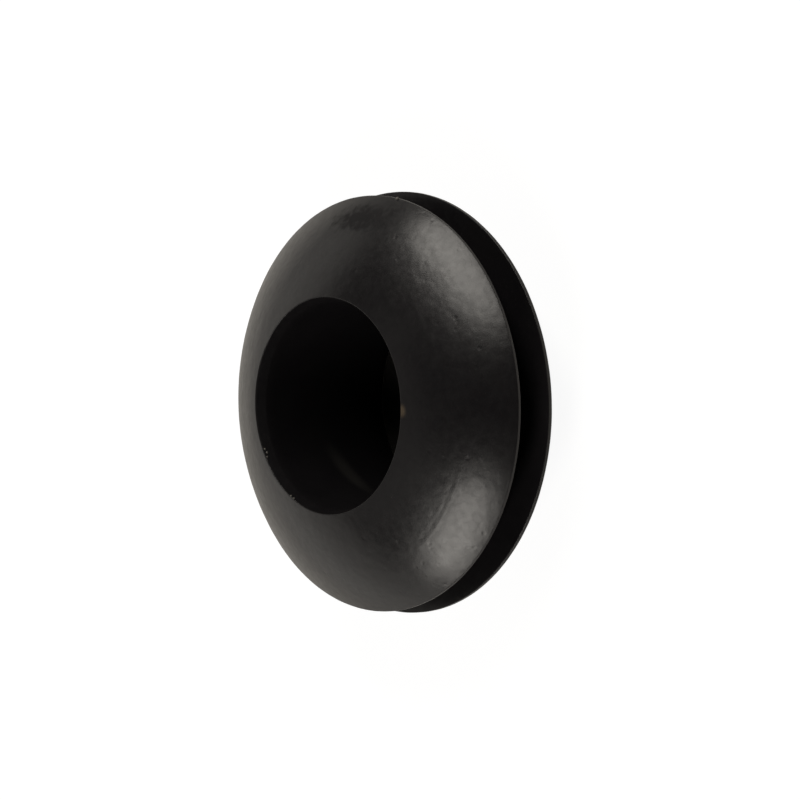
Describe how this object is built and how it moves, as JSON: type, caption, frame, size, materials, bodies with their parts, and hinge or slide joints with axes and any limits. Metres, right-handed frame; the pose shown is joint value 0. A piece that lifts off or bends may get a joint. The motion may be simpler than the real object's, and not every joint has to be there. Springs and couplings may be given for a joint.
{
  "type": "rubber grommet",
  "caption": "Round moulded rubber grommet: a domed flange stands on each side of a groove that grips the edge of a panel hole, with a plain bore through it for a cable.",
  "frame": {"origin": "on the bore axis, half way across the panel groove, which is also the middle of the part's box", "axes": "+Z along the bore, out of the front flange; the part is round about Z, so X and Y are free"},
  "size_m": [0.0203, 0.0202, 0.0082],
  "materials": {
    "rubber": "moulded black rubber, satin, with a faint bloom"
  },
  "bodies": {
    "root": {"grommet": "rubber"}
  },
  "joints": []
}
